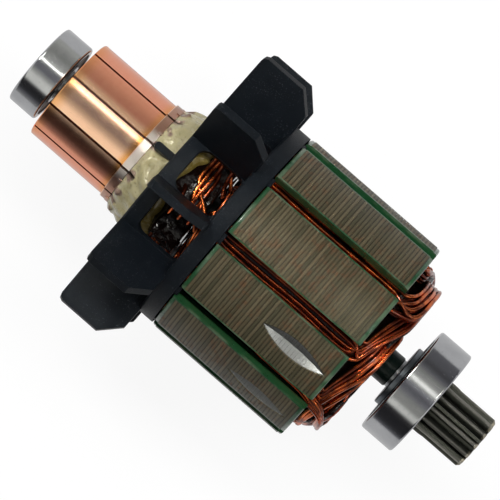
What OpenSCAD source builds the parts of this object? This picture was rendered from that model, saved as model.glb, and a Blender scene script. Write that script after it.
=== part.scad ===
// Wound armature of a small permanent-magnet motor, with its fan, pinion and two ball bearings.
// The shaft runs along X, the commutator is at -X and the pinion at +X.
// The origin is the middle of the pinion-end bearing, on the shaft's axis.

/* [Shaft and core] */
// Diameter of the ground steel shaft
shaft_d = 5; // [4.8:0.1:5.2]
// Outer diameter of the laminated core
core_d = 37.4; // [36.8:0.1:38]
// Number of steel laminations in the core
lamination_count = 40; // [36:1:40]
// Pitch of the laminations along the shaft
lamination_pitch = 0.615; // [0.6:0.005:0.62]
// Film of air and varnish between two laminations
lamination_gap = 0.03; // [0.02:0.01:0.05]
// Width of a tooth's stem between two slots
tooth_stem_w = 4.2; // [4:0.1:4.4]
// Width of a slot's mouth in the steel
slot_mouth_w = 2.9; // [2.7:0.1:3.1]
// Thickness of the green epoxy coat in the slots
coat_t = 0.25; // [0.2:0.05:0.3]
// Thickness of the green epoxy coat on the core's ends
end_coat_t = 0.67; // [0.5:0.01:0.8]

/* [Windings] */
// Reach of the end turns past the core's end coat
end_turn_h = 4.3; // [4.2:0.1:4.4]
// Thickness of one bundle of end turns, along the shaft
end_turn_t = 0.95; // [0.85:0.05:0.95]
// Outer radius of the end turns at the pinion end
end_turn_r = 14.4; // [13.6:0.1:14.4]
// Diameter of the enamelled wire
wire_d = 0.68; // [0.6:0.02:0.7]

/* [Fan] */
// Outer diameter of the fan's blades
fan_d = 50.9; // [49:0.1:51]
// Thickness of a fan blade
fan_blade_t = 1.4; // [1.2:0.1:1.5]

/* [Commutator] */
// Diameter of the brush track
track_d = 17.6; // [17.2:0.1:17.8]
// Diameter of the riser band behind the track
riser_d = 18.2; // [18:0.1:18.4]
// Width of the slit between two bars
bar_gap = 0.4; // [0.3:0.01:0.45]

/* [Bearings] */
// Outer diameter of the pinion-end bearing
pinion_bearing_d = 19; // [18.9:0.1:19.1]
// Width of the pinion-end bearing
pinion_bearing_w = 6; // [5.9:0.1:6]
// Outer diameter of the commutator-end bearing
comm_bearing_d = 14; // [13.9:0.1:14.1]
// Width of the commutator-end bearing
comm_bearing_w = 5; // [4.9:0.1:5]

/* [Pinion] */
// Number of teeth on the pinion
pinion_teeth = 13; // [12:1:14]
// Module of the pinion's teeth
pinion_module = 0.6; // [0.58:0.01:0.62]
// Outer diameter of the pinion
pinion_d = 9.2; // [9:0.1:9.3]
// Length of the pinion
pinion_l = 9.3; // [9:0.1:9.6]

/* [Hidden] */
$fn = 64;
eps = 0.01;

// Stations along the shaft, from the commutator end to the pinion end
core_x1 = -12;
core_l = lamination_count * lamination_pitch;
core_x0 = core_x1 - core_l;
coat_x0 = core_x0 - end_coat_t;
coat_x1 = core_x1 + end_coat_t;
sleeve_x1 = -4.4;
comm_bearing_x = -74.1;
track_x0 = -70.6;
riser_x0 = -56.25;
riser_x1 = -54.8;
hub_x1 = -53.5;

// Lamination and slot. There is one coil and one commutator bar for each slot.
slots = 10;
core_r = core_d / 2;
pitch_a = 360 / slots;
half_a = pitch_a / 2;
stem_half = tooth_stem_w / 2;
slot_floor_r = 0.8;
slot_corner_r = 1;
slot_corner_s = 15.7;
shoulder_a = 30;

// Winding: each coil spans this many slots, with one side low in its slot and the other high
coil_span = 4;
span_a = coil_span * pitch_a;
lift = 1.1;
ramp_rise = end_turn_h - lift - end_turn_t;
mid_a = span_a / 2;
crossing_r = 9.2;
comm_end_turn_r = 13;
low_side = [9.15, 12.7];
low_half_w = [0.38, 1.5];
high_side = [12.9, 16.2];
high_half_w = [1.55, 2.3];
low_ramp = [4, 8.8];
edge_cut = 0.28;

// Fan
fan_r = fan_d / 2;
fan_x0 = -50.9;
fan_front_x1 = -48.5;
fan_rear_x0 = -40.33;
fan_x1 = -37.5;
fan_hub_r = 14.9;
fan_rear_r = 18.5;
fan_turn = 0.6;

// Tang
tang_w = 2;
tang_t = 0.42;
tang_eye_r = 0.42;
tang_x = -54.1;
tang_r = 8.35;

// Turns a part drawn with the shaft along Z so that the shaft runs along X, and starts it at x
module along_shaft(x = 0) translate([x, 0, 0]) rotate([0, 90, 0]) children();

// Repeats a child drawn across the shaft, once per slot
module per_slot() for (i = [0:slots - 1]) rotate([0, 0, i * pitch_a]) children();

// A turned profile given as [radius, x] points, revolved around the shaft
module turned(points) along_shaft() rotate_extrude() polygon(points);

// ---- Shaft ----

// Ground pin with chamfered ends and a lathe centre in each end
module shaft() {
    r = shaft_d / 2;
    x0 = comm_bearing_x - comm_bearing_w / 2 + 0.2;
    x1 = pinion_bearing_w / 2 + pinion_l - 0.3;
    chamfer = 0.3;
    centre_r = 0.8;
    color("silver") difference() {
        turned([[0, x0], [r - chamfer, x0], [r, x0 + chamfer], [r, x1 - chamfer], [r - chamfer, x1], [0, x1]]);
        along_shaft(x0 - eps) cylinder(r1 = centre_r + eps, r2 = 0, h = centre_r * 1.7);
        along_shaft(x1 + eps) mirror([0, 0, 1]) cylinder(r1 = centre_r + eps, r2 = 0, h = centre_r * 1.7);
    }
}

// ---- Core ----

function unit(a) = [cos(a), sin(a)];

// One slot's outline on the +X side, grown inwards by a coat on its walls.
// Its sides run along the two teeth, and dip a blend inside its round floor and its two round upper corners.
module slot_outline(coat = 0) {
    blend = 0.03;
    floor_r = slot_floor_r - coat;
    corner_r = slot_corner_r - coat;
    mouth = slot_mouth_w / 2 - coat;
    side = unit(half_a + 90);
    shoulder = unit(shoulder_a);
    floor_c = [(stem_half + slot_floor_r) / sin(half_a), 0];
    corner_c = slot_corner_s * unit(half_a) - (stem_half + slot_corner_r) * side;
    shoulder_d = (corner_c + (corner_r - blend) * shoulder) * shoulder;
    mouth_x = (shoulder_d - mouth * shoulder[1]) / shoulder[0];
    upper = [floor_c + (floor_r - blend) * side, corner_c + (corner_r - blend) * side,
             corner_c + (corner_r - blend) * shoulder, [mouth_x, mouth], [core_r + 1, mouth]];
    lower = [for (i = [len(upper) - 1:-1:0]) [upper[i][0], -upper[i][1]]];
    translate(floor_c) circle(r = floor_r);
    translate(corner_c) circle(r = corner_r);
    translate([corner_c[0], -corner_c[1]]) circle(r = corner_r);
    polygon(concat(upper, lower));
}

// Plate outline: a disc with its slots and the shaft's hole
module plate_outline(r, coat) difference() {
    circle(r = r);
    per_slot() slot_outline(coat);
    circle(r = shaft_d / 2);
}

// Lens-shaped pocket that a double-angle cutter mills into a tooth for balance
module balance_cut(tooth_a, x, depth) {
    cutter_r = 18.2;
    half_w = 3;
    flank_a = 57;
    cutter_edge_r = cutter_r - half_w / tan(flank_a);
    along_shaft(x) rotate([0, 0, tooth_a + 180]) translate([core_r + cutter_r - depth, 0, 0]) rotate([90, 0, 0])
        rotate_extrude() polygon([[0, -half_w], [cutter_edge_r, -half_w], [cutter_r, 0],
                                  [cutter_edge_r, half_w], [0, half_w]]);
}

// Punched steel plates, with the two pockets that balance the armature
module lamination_stack() color("darkkhaki") difference() {
    pocket_x = -18.4;
    along_shaft(core_x0) for (i = [0:lamination_count - 1])
        translate([0, 0, i * lamination_pitch + lamination_gap / 2])
            linear_extrude(lamination_pitch - lamination_gap) plate_outline(core_r, 0);
    balance_cut(half_a, pocket_x - 0.05, 1.1);
    balance_cut(3 * half_a, pocket_x, 0.95);
}

// End plate of the epoxy coat, with its rim rounded over towards the windings
module end_coat() {
    rim_r = 0.35;
    r = core_r - 0.1;
    intersection() {
        linear_extrude(end_coat_t) plate_outline(core_r, coat_t);
        rotate_extrude() {
            square([r - rim_r, end_coat_t]);
            square([r, end_coat_t - rim_r]);
            translate([r - rim_r, end_coat_t - rim_r]) circle(r = rim_r);
        }
    }
}

// Sleeve of the epoxy coat along the bare shaft, with a rounded free end
module shaft_coat(l) {
    r = shaft_d / 2 + 0.22;
    difference() {
        union() {
            cylinder(r = r, h = l - 0.15);
            cylinder(r = r - 0.12, h = l);
        }
        translate([0, 0, -1]) cylinder(r = shaft_d / 2, h = l + 2);
    }
}

// Green epoxy coat: liners in the slots, a plate on each end of the core and a sleeve on the shaft
module core_insulation() color("darkgreen") {
    along_shaft(core_x0) linear_extrude(core_l) intersection() {
        circle(r = core_r);
        per_slot() difference() {
            slot_outline(0);
            slot_outline(coat_t);
        }
    }
    along_shaft(core_x1) end_coat();
    along_shaft(core_x0) mirror([0, 0, 1]) end_coat();
    along_shaft(coat_x1 - eps) shaft_coat(sleeve_x1 - coat_x1);
    along_shaft(coat_x0 + eps) mirror([0, 0, 1]) shaft_coat(coat_x0 - hub_x1);
}

// ---- Coils ----

// Smooth step from 0 to 1 while a goes from a0 to a1
function ease(a, a0, a1) = let (t = max(0, min(1, (a - a0) / (a1 - a0)))) t * t * (3 - 2 * t);
function mix(p, q, t) = p + (q - p) * t;

// A point from its angle around the shaft, its radius and its x
function place(a, r, x) = [x, r * sin(a), -r * cos(a)];

// A coil's section is four corners: low and high radius on its inner side, then high and low on its outer side.
// The inner side faces the core's tooth that the coil is wound on.

// Section in a slot, in a plane across the shaft. way is 1 for the coil's low side and -1 for its high side.
function slot_section(a, radii, half_w, way, x) = let (
    w0 = way * asin(half_w[0] / radii[0]),
    w1 = way * asin(half_w[1] / radii[1]))
    [place(a + w0, radii[0], x), place(a + w1, radii[1], x),
     place(a - w1, radii[1], x), place(a - w0, radii[0], x)];

// Section in an end turn, in a plane along the shaft, h above the end coat. end is 1 at the pinion and -1 at the fan.
function ramp_section(a, radii, end, h) = let (
    x0 = coat_end(end) + end * h,
    x1 = x0 + end * end_turn_t)
    [place(a, radii[0], x0), place(a, radii[1], x0), place(a, radii[1], x1), place(a, radii[0], x1)];

// Section between the two, where the outer side swings over the inner one by t from 0 to 1
function swing_section(t, a, radii, half_w, way, end, h) = let (
    w0 = way * asin(half_w[0] / radii[0]),
    w1 = way * asin(half_w[1] / radii[1]),
    over = 1 - 2 * cos(90 * t),
    x0 = coat_end(end) + end * h * t,
    x1 = x0 + end * end_turn_t * sin(90 * t))
    [place(a + w0, radii[0], x0), place(a + w1, radii[1], x0),
     place(a + over * w1, radii[1], x1), place(a + over * w0, radii[0], x1)];

function coat_end(end) = end > 0 ? coat_x1 : coat_x0;

// Height of the end turn above the end coat, at an angle from the coil's low side.
// Neighbouring coils lie on one another like roof tiles, and each crosses outwards at its middle, over the rest.
function ramp_h(a) = a < 72 ? mix(a / mid_a * ramp_rise, lift + ramp_rise, ease(a, 54, 68)) :
    lift + min(1, (span_a - a) / mid_a) * ramp_rise;

// Inner and outer radius of the end turn at that angle
function ramp_radii(a, high_ramp) = a < 60 ? mix(low_side, low_ramp, ease(a, 3, 19)) :
    a < 100 ? mix(low_ramp, high_ramp, ease(a, 68, 84)) :
    mix(high_ramp, high_side, ease(a, span_a - 22, span_a - 7));

// Sections of one end turn, from the coil's low side to its high side
function end_turn(end, high_ramp) = let (
    a0 = asin(low_half_w[1] / low_side[1]),
    a1 = span_a - asin(high_half_w[1] / high_side[1]),
    x_slot = coat_end(end) - end * 0.4)
    concat(
        [slot_section(0, low_side, low_half_w, 1, x_slot)],
        [for (t = [0.3, 0.7]) swing_section(t, 0, low_side, low_half_w, 1, end, 0)],
        [for (a = [a0, 12, 16, 20, 30, 42, 54, 59, 64, 68, 72, 76, 80, 84, 94, 107, 120, 126, 132, a1])
            ramp_section(a, ramp_radii(a, high_ramp), end, ramp_h(a))],
        [for (t = [0.7, 0.3]) swing_section(t, span_a, high_side, high_half_w, -1, end, lift)],
        [slot_section(span_a, high_side, high_half_w, -1, x_slot)]);

function reversed(list) = [for (i = [len(list) - 1:-1:0]) list[i]];
function toward(p, q, d) = p + (q - p) / norm(q - p) * d;

// The section's four corners, each cut off
function cut_corners(q) = [for (i = [0:3], k = [3, 1]) toward(q[i], q[(i + k) % 4], edge_cut)];

// Skin over sections of n points each, closed into a loop or capped at both ends
module skin(sections, n, closed) {
    m = len(sections);
    sides = [for (i = [0:(closed ? m - 1 : m - 2)], j = [0:n - 1]) let (
        a = i * n + j, b = i * n + (j + 1) % n, c = (i + 1) % m * n + (j + 1) % n, d = (i + 1) % m * n + j)
        each [[a, b, c], [a, c, d]]];
    caps = closed ? [] : [for (j = [1:n - 2]) each [[0, j + 1, j], [(m - 1) * n, (m - 1) * n + j, (m - 1) * n + j + 1]]];
    polyhedron(points = [for (s = sections) each s], faces = concat(sides, caps));
}

// One coil: a bundle of enamelled wire through two slots, closed by an end turn at each end of the core
module coil(i) {
    loop = concat(end_turn(1, [crossing_r, end_turn_r]), reversed(end_turn(-1, [crossing_r, comm_end_turn_r])));
    color("chocolate") rotate([(i - 1) * pitch_a, 0, 0]) skin([for (s = loop) cut_corners(s)], 8, true);
}

// Where the wires run straight along the shaft, through the resin: angle from the tang, and radius
lead_a = 12.5;
lead_r = 8.5;

// Route of a wire from under a tang's middle to its coil: angle, radius and x
lead_route = [[0, tang_r, tang_x], [7, tang_r, tang_x], [10, 8.4, -54], [11.8, 8.46, -53.6], [lead_a, lead_r, -53],
              [lead_a, lead_r, -46.8], [13, 8.8, -45.6], [14, 9.8, -44], [15, 10.7, -42.8], [15.5, 11.1, -41.8]];

// Wire through the points, with six sides
module wire(points, r) {
    last = len(points) - 1;
    skin([for (i = [0:last]) let (
        t = toward([0, 0, 0], points[min(i + 1, last)] - points[max(i - 1, 0)], 1),
        u = toward([0, 0, 0], cross(t, [0, points[i][1], points[i][2]]), 1),
        v = cross(t, u))
        [for (k = [0:5]) points[i] + r * (cos(60 * k) * u + sin(60 * k) * v)]], 6, false);
}

// The coils' wires where they go to the commutator and hook under its tangs, one loop for each bar
module lead_wires() color("sienna") {
    half = [for (p = lead_route) place(p[0], p[1], p[2])];
    points = concat([for (i = [len(half) - 1:-1:1]) [half[i][0], -half[i][1], half[i][2]]], half);
    for (i = [0:slots - 1]) rotate([i * pitch_a, 0, 0]) wire(points, wire_d / 2);
}

// Cream resin behind the commutator: a ring round the wires, with a lump between each two tangs
module lead_resin() color("wheat") {
    inner_r = 6.8;
    x0 = -52.9;
    x1 = -46.9;
    foot_r = 6.95;
    lump_a = 5.6;
    difference() {
        turned([[inner_r, x0], [9.5, x0], [10, x0 + 0.8], [10.8, x0 + 2], [10.8, x1 - 0.3], [10.5, x1], [inner_r, x1]]);
        for (i = [0:slots - 1], way = [-1, 1]) along_shaft(x0 - 1)
            rotate([0, 0, i * pitch_a + way * lead_a]) translate([lead_r, 0, 0]) cylinder(d = wire_d + 0.06, h = 8);
        fan_fingers();
    }
    for (i = [0:slots - 1]) along_shaft() rotate([0, 0, half_a + i * pitch_a - lump_a / 2])
        rotate_extrude(angle = lump_a)
            polygon([[foot_r, riser_x1 + 0.05], [9, riser_x1 + 0.05], [9.3, x0 + 0.2], [foot_r, x0 + 0.2]]);
}

// ---- Commutator ----

// A tang's eye: the strip leaves the riser, bends round the wire and comes back on top of the riser
module tang() {
    outer_r = tang_eye_r + tang_t;
    back_x = -55.3;
    translate([0, tang_w / 2, -tang_r]) rotate([90, 0, 0]) linear_extrude(tang_w) {
        translate([tang_x, 0]) intersection() {
            difference() {
                circle(r = outer_r);
                circle(r = tang_eye_r);
            }
            translate([0, -outer_r]) square(2 * outer_r);
        }
        translate([back_x, -outer_r]) square([tang_x - back_x, tang_t]);
        translate([back_x, tang_eye_r]) square([tang_x - back_x, tang_t]);
    }
}

// Section of a bar along the shaft: brush track, riser, and a dovetail that the moulding grips
module bar_body() {
    half_gap_a = asin(bar_gap / track_d);
    points = [[track_d / 2 - 0.15, track_x0], [track_d / 2, track_x0 + 0.15], [track_d / 2, riser_x0],
              [riser_d / 2, riser_x0], [riser_d / 2, riser_x1], [7.3, riser_x1], [6.6, riser_x1 - 2.4],
              [5.5, riser_x1 - 1.4], [5.5, track_x0 + 1.4], [6.6, track_x0 + 2.4], [7.3, track_x0]];
    along_shaft() rotate([0, 0, -half_a + half_gap_a]) rotate_extrude(angle = pitch_a - 2 * half_gap_a) polygon(points);
}

// Copper bar with the tang that its two wires hook under
module commutator_bar(i) color("peru") rotate([(i - 1) * pitch_a, 0, 0]) {
    bar_body();
    tang();
}

// Moulded hub that fills the space under the bars and rises between them to just under the track
module commutator_hub() color("saddlebrown") difference() {
    turned([[shaft_d / 2, track_x0 - 0.5], [4.6, track_x0 - 0.5], [5.2, track_x0 + 0.1], [8.1, track_x0 + 0.1],
            [8.1, riser_x1], [6.8, riser_x1], [6.8, hub_x1], [shaft_d / 2, hub_x1]]);
    for (i = [0:slots - 1]) rotate([i * pitch_a, 0, 0]) bar_body();
}

// ---- Fan ----

// The fan is pressed on a little round from the slots' middles, by fan_turn
module per_blade(turn = 0) for (i = [0:slots - 1]) rotate([fan_turn + turn + i * pitch_a, 0, 0]) children();

// Hub with its front ring and its stepped rear ring, which clears the end turns
module fan_hub() {
    wall_r = 13.7;
    front_r = 11;
    skirt_r = 16.4;
    skirt_x0 = -39.6;
    edge = 0.3;
    turned([[front_r, fan_x0 + edge], [front_r + edge, fan_x0], [fan_hub_r - edge, fan_x0],
            [fan_hub_r, fan_x0 + edge], [fan_hub_r, fan_rear_x0], [fan_rear_r - edge, fan_rear_x0],
            [fan_rear_r, fan_rear_x0 + edge], [fan_rear_r, fan_x1], [skirt_r, fan_x1], [skirt_r, skirt_x0],
            [wall_r, skirt_x0 - 0.45], [wall_r, fan_front_x1], [front_r, fan_front_x1]]);
}

// Straight blade along the shaft, with its rear corner cut back
module fan_blade() {
    root_r = fan_hub_r - 1;
    foot_r = fan_rear_r - 1;
    rear_x = -39.95;
    corner_x = -42.9;
    corner_r = 22.3;
    rotate([90, 0, 0]) linear_extrude(fan_blade_t, center = true)
        polygon([[fan_x0, root_r], [fan_x0 + 0.3, fan_r - 0.9], [fan_x0 + 0.5, fan_r - 0.3], [fan_x0 + 1.1, fan_r],
                 [corner_x, fan_r], [rear_x, corner_r], [rear_x, foot_r], [fan_rear_x0 + 0.1, foot_r],
                 [fan_rear_x0 + 0.1, root_r]]);
}

// Window that fills the gap between two blades, through the hub's wall, with rounder corners at the front
module fan_window() {
    x0 = fan_front_x1 + 0.1;
    x1 = fan_rear_x0 - 0.15;
    half_w = 3.85;
    front_round = 1.7;
    rear_round = 1;
    translate([0, 0, 12]) linear_extrude(8) {
        translate([x0 + front_round, -half_w]) square([x1 - x0 - front_round - rear_round, 2 * half_w]);
        translate([x0, front_round - half_w]) square([x1 - x0 - 0.5, 2 * (half_w - front_round)]);
        translate([x0 + 2, rear_round - half_w]) square([x1 - x0 - 2, 2 * (half_w - rear_round)]);
        for (side = [-1, 1]) {
            translate([x0 + front_round, side * (half_w - front_round)]) circle(r = front_round);
            translate([x1 - rear_round, side * (half_w - rear_round)]) circle(r = rear_round);
        }
    }
}

// Two fingers that reach over the resin to a slit of the commutator
module fan_fingers() {
    w = 1.25;
    tip_x = -54.4;
    for (a = [-half_a, 180 - half_a]) rotate([fan_turn + a, 0, 0]) translate([0, 0, 10.2]) linear_extrude(1.4) {
        translate([tip_x + w / 2, -w / 2]) square([fan_x0 + 0.6 - tip_x - w / 2, w]);
        translate([tip_x + w / 2, 0]) circle(d = w);
    }
}

// Black moulded fan: a windowed hub with ten straight blades, lugs in the slots' mouths and two fingers
module fan() color("#1c1c1e") {
    lug_w = 1.7;
    lug_h = 1.3;
    lug_r0 = 16.9;
    lug_reach = 0.6;
    difference() {
        union() {
            fan_hub();
            per_blade() fan_blade();
        }
        per_blade(half_a) fan_window();
    }
    per_blade() translate([fan_x1 - 0.2, -lug_w / 2, lug_r0]) cube([lug_reach + 0.2, lug_w, lug_h]);
    fan_fingers();
}

// ---- Spacer and pinion ----

// Turned steel washer between the coated shaft and the bearing
module spacer_disc() color("slategray") {
    r = 5.33;
    t = 0.98;
    x1 = -pinion_bearing_w / 2;
    x0 = x1 - t;
    turned([[shaft_d / 2, x0], [r - 0.12, x0], [r, x0 + 0.12], [r, x1 - 0.12], [r - 0.12, x1], [shaft_d / 2, x1]]);
}

// Involute of a base circle, as angle from its start and radius
function involute(base_r, r) = let (t = sqrt(pow(r / base_r, 2) - 1)) t * 180 / PI - atan(t);

// Outline of the pinion: involute flanks between a root and a tip circle
function pinion_outline(tip_r) = let (
    pitch_r = pinion_module * pinion_teeth / 2,
    base_r = pitch_r * cos(20),
    root_r = tip_r - 2.3 * pinion_module,
    shift = (tip_r - pitch_r) / pinion_module - 1,
    half_tooth = 90 / pinion_teeth + 2 * shift * tan(20) / pinion_teeth * 180 / PI,
    half_base = half_tooth + involute(base_r, pitch_r),
    flank = [for (k = [0:4]) let (r = mix(base_r, tip_r, k / 4)) [r, half_base - involute(base_r, r)]],
    tooth = concat([[root_r, half_base]], flank))
    [for (i = [0:pinion_teeth - 1]) let (a = i * 360 / pinion_teeth) each concat(
        [for (p = tooth) p[0] * unit(a - p[1])],
        [for (p = reversed(tooth)) p[0] * unit(a + p[1])])];

// Hardened steel pinion with chamfered tooth ends, pressed on the shaft against the bearing
module pinion() color("dimgray") along_shaft() rotate([0, 0, 180]) {
    x0 = pinion_bearing_w / 2;
    x1 = x0 + pinion_l;
    r = pinion_d / 2;
    burr = 0.1;
    difference() {
        intersection() {
            translate([0, 0, x0]) linear_extrude(pinion_l) polygon(pinion_outline(r + burr));
            rotate_extrude() polygon([[0, x0], [r + burr, x0], [r + burr, x0 + 1.4], [r, x0 + 2.2],
                                      [r, x1 - 0.45], [r - 0.45, x1], [0, x1]]);
        }
        translate([0, 0, x0 - 1]) cylinder(d = shaft_d, h = pinion_l + 2);
    }
}

// ---- Ball bearings ----

// A bearing's sizes: [x of its middle, width, outer radius, balls' circle, ball radius, ball count,
// inner ring's land, inner ring's turned-down shoulder, outer ring's land, shield's seat]
pinion_bearing = [0, pinion_bearing_w, pinion_bearing_d / 2, 6, 1.75, 6, 4.8, 4.3, 7.25, 7.9];
comm_bearing = [comm_bearing_x, comm_bearing_w, comm_bearing_d / 2, 4.75, 1.25, 7, 3.95, 3.55, 5.6, 6.05];
shield_t = 0.25;
shield_depth = 0.25;
race_gap = 0.05;

// Ring with a ball groove, on the far side of whose land the shields run
module inner_ring(b) color("lightsteelblue") along_shaft(b[0]) {
    h = b[1] / 2;
    r = shaft_d / 2;
    step = h - shield_t - shield_depth - 0.25;
    chamfer = 0.25;
    rotate_extrude() difference() {
        polygon([[r, -h + chamfer], [r + chamfer, -h], [b[7], -h], [b[7], -step], [b[6], -step],
                 [b[6], step], [b[7], step], [b[7], h], [r + chamfer, h], [r, h - chamfer]]);
        translate([b[3], 0]) circle(r = b[4] + race_gap);
    }
}

// Ring with rounded outer edges, a ball groove and a seat for a shield at each end
module outer_ring(b) color("silver") along_shaft(b[0]) {
    h = b[1] / 2;
    seat = h - shield_t - shield_depth;
    round_r = 0.4;
    rotate_extrude() difference() {
        union() {
            translate([b[8], -h]) square([b[2] - round_r - b[8], 2 * h]);
            translate([b[8], -h + round_r]) square([b[2] - b[8], 2 * (h - round_r)]);
            for (z = [-1, 1]) translate([b[2] - round_r, z * (h - round_r)]) circle(r = round_r);
        }
        for (z = [-h - 1, seat]) translate([b[8] - 1, z]) square([b[9] - b[8] + 1, h + 1 - seat]);
        translate([b[3], 0]) circle(r = b[4] + race_gap);
    }
}

// The set of balls
module balls(b) color("white") along_shaft(b[0])
    for (i = [0:b[5] - 1]) rotate([0, 0, i * 360 / b[5]]) translate([b[3], 0, 0]) sphere(r = b[4]);

// Crown cage with a pocket for each ball
module cage(b) color("goldenrod") along_shaft(b[0]) difference() {
    half = 0.6;
    top = b[1] / 2 - shield_t - shield_depth - 0.2;
    pocket = 0.07;
    translate([0, 0, -0.5]) cylinder(r = b[3] + half, h = top + 0.5);
    translate([0, 0, -1]) cylinder(r = b[3] - half, h = top + 2);
    for (i = [0:b[5] - 1]) rotate([0, 0, i * 360 / b[5]]) translate([b[3], 0, 0]) sphere(r = b[4] + pocket);
}

// Pressed steel shield, crimped into the outer ring on the side that end says
module shield(b, end) color("gainsboro") along_shaft(b[0] + end * (b[1] / 2 - shield_depth - shield_t / 2)) difference() {
    cylinder(r = b[9], h = shield_t, center = true);
    cylinder(r = b[7] + 0.15, h = 1, center = true);
}

shaft();
lamination_stack();
core_insulation();
for (i = [1:slots]) coil(i);
lead_wires();
lead_resin();
commutator_hub();
for (i = [1:slots]) commutator_bar(i);
fan();
spacer_disc();
pinion();
inner_ring(pinion_bearing);  // pinion_bearing_inner_ring
outer_ring(pinion_bearing);  // pinion_bearing_outer_ring
balls(pinion_bearing);  // pinion_bearing_balls
cage(pinion_bearing);  // pinion_bearing_cage
shield(pinion_bearing, -1);  // pinion_bearing_inboard_shield
shield(pinion_bearing, 1);  // pinion_bearing_outboard_shield
inner_ring(comm_bearing);  // commutator_bearing_inner_ring
outer_ring(comm_bearing);  // commutator_bearing_outer_ring
balls(comm_bearing);  // commutator_bearing_balls
cage(comm_bearing);  // commutator_bearing_cage
shield(comm_bearing, 1);  // commutator_bearing_inboard_shield
shield(comm_bearing, -1);  // commutator_bearing_outboard_shield
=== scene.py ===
import math

import bmesh
import bpy
from mathutils import Matrix, Vector, noise


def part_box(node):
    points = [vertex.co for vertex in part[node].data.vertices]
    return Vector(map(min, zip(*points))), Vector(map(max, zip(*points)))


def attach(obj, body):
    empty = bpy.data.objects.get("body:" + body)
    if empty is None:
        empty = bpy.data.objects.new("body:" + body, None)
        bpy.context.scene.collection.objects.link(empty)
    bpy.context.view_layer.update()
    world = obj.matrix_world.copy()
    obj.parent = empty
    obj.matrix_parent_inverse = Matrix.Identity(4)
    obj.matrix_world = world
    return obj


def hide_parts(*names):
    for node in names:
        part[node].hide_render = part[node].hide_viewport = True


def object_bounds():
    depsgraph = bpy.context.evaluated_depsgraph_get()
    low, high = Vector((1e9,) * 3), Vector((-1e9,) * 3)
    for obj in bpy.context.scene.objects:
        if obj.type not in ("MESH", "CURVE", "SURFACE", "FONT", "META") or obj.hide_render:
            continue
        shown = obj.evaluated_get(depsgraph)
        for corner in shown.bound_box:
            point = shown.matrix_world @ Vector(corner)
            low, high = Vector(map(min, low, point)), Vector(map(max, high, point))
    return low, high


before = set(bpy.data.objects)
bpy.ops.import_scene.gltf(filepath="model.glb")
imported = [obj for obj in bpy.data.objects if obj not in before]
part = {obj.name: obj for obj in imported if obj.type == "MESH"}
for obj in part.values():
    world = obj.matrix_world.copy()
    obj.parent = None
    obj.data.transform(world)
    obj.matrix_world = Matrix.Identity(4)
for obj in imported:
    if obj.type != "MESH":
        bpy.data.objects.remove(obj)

cad_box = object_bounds()
ARMATURE = "armature"


# ---- Shaft ----
# The shaft is a ground steel pin, 5 mm thick, that everything else is pressed, moulded or wound on.
# Only its two ends show, in the bearings and in the pinion, with a lathe centre in each.

class Shade:
    """A socket of a material. Sums written on it in Python add the Math nodes that do them.
    node() adds any other node to the same material, with its settings first and then its sockets."""

    def __init__(self, tree, socket=None):
        self.tree = tree
        self.socket = socket

    def node(self, kind, settings=None, sockets=None, output=0):
        made = self.tree.nodes.new(kind)
        for name, value in (settings or {}).items():
            if name == "stops":
                ramp = made.color_ramp
                while len(ramp.elements) < len(value):
                    ramp.elements.new(0.5)
                for element, (place, colour) in zip(ramp.elements, value):
                    element.position = place
                    element.color = colour
            else:
                setattr(made, name, value)
        for name, value in (sockets or {}).items():
            if isinstance(value, Shade):
                self.tree.links.new(value.socket, made.inputs[name])
            else:
                made.inputs[name].default_value = value
        return Shade(self.tree, made.outputs[output] if len(made.outputs) else None)

    def other(self, output):
        """Another output of the same node."""
        return Shade(self.tree, self.socket.node.outputs[output])

    def maths(self, operation, *values):
        return self.node("ShaderNodeMath", {"operation": operation}, dict(enumerate(values)))

    def __add__(self, other):
        return self.maths("ADD", self, other)

    def __sub__(self, other):
        return self.maths("SUBTRACT", self, other)

    def __rsub__(self, other):
        return self.maths("SUBTRACT", other, self)

    def __mul__(self, other):
        return self.maths("MULTIPLY", self, other)

    def __truediv__(self, other):
        return self.maths("DIVIDE", self, other)

    def __pow__(self, other):
        return self.maths("POWER", self, other)

    __radd__ = __add__
    __rmul__ = __mul__


def new_finish(name):
    """An empty material, as a Shade to add its nodes with."""
    material = bpy.data.materials.new(name)
    material.use_nodes = True
    material.node_tree.nodes.clear()
    return material, Shade(material.node_tree)


def tint(red, green, blue):
    """A colour given as it looks on a screen, from 0 to 255, as the shader's own light values."""
    levels = [c / 255 for c in (red, green, blue)]
    return tuple(c / 12.92 if c <= 0.04045 else ((c + 0.055) / 1.055) ** 2.4 for c in levels) + (1.0,)


def blend(shade, share, first, second):
    return shade.node("ShaderNodeMix", {"data_type": "RGBA"}, {0: share, 6: first, 7: second}, 2)


def step(shade, value, low, high):
    """0 where value is under low, 1 where it is over high, and smooth between."""
    return shade.node("ShaderNodeMapRange", {"interpolation_type": "SMOOTHSTEP"},
                      {"Value": value, "From Min": low, "From Max": high})


def cloud(shade, where, scale, detail=3.0, roughness=0.55):
    return shade.node("ShaderNodeTexNoise", {}, {"Vector": where, "Scale": scale, "Detail": detail,
                                                 "Roughness": roughness})


MM = 1000.0


def along(shade):
    """The place on the part, how far along the shaft it is and how far out from it, all in millimetres."""
    where = shade.node("ShaderNodeTexCoord", output="Object")
    where = shade.node("ShaderNodeVectorMath", {"operation": "SCALE"}, {0: where, "Scale": MM})
    x = shade.node("ShaderNodeSeparateXYZ", {}, {0: where})
    y = x.other("Y")
    z = x.other("Z")
    return where, x, (y * y + z * z) ** 0.5


def turning_marks(shade, where, scale):
    """The fine rings that a lathe or a grinding wheel leaves round the shaft, from 0 to 1."""
    stretched = shade.node("ShaderNodeVectorMath", {"operation": "MULTIPLY"},
                           {0: where, 1: (scale, 0.35, 0.35)})
    return cloud(shade, stretched, 1.0, 4.0, 0.7)


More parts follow.
